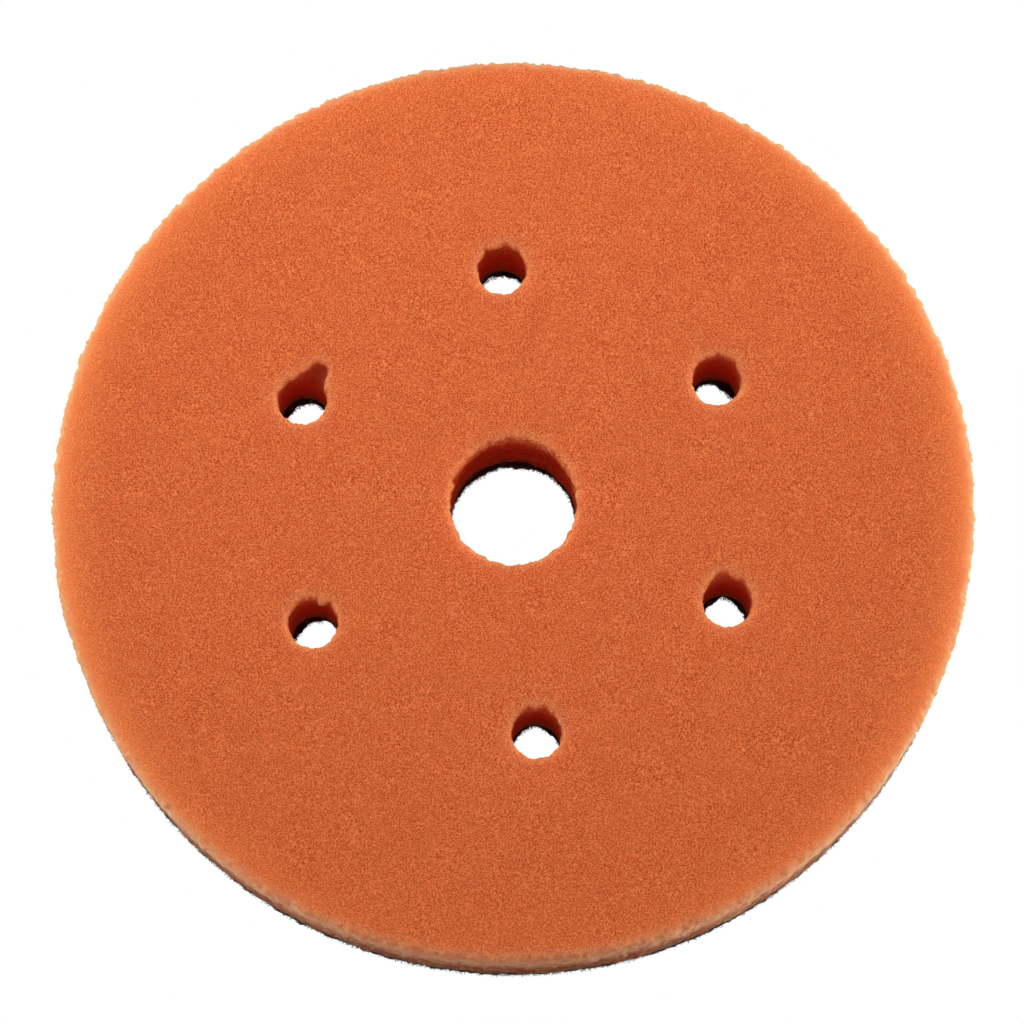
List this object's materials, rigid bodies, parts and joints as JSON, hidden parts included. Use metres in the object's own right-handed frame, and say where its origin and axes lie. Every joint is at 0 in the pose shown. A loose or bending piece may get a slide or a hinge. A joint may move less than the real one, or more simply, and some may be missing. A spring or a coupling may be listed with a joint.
{
  "type": "foam polishing pad",
  "caption": "Flat round open-cell foam polishing pad with a centre bore, a ring of vents and a hook-and-loop cloth backing.",
  "frame": {"origin": "centre of the loop face, the side that grips the backing plate", "axes": "+Z from the loop face to the working face; the first vent, right rear, lies about 31 degrees round from +X towards +Y"},
  "size_m": [0.156, 0.156, 0.0193],
  "materials": {
    "orange_foam": "matt open-cell polyurethane foam, orange, with fine cut cells",
    "hot_melt": "thin dark amber hot-melt adhesive film",
    "black_loop_cloth": "black brushed nylon loop cloth"
  },
  "bodies": {
    "root": {"foam_disc": "orange_foam", "adhesive_film": "hot_melt", "loop_backing": "black_loop_cloth"}
  },
  "joints": []
}
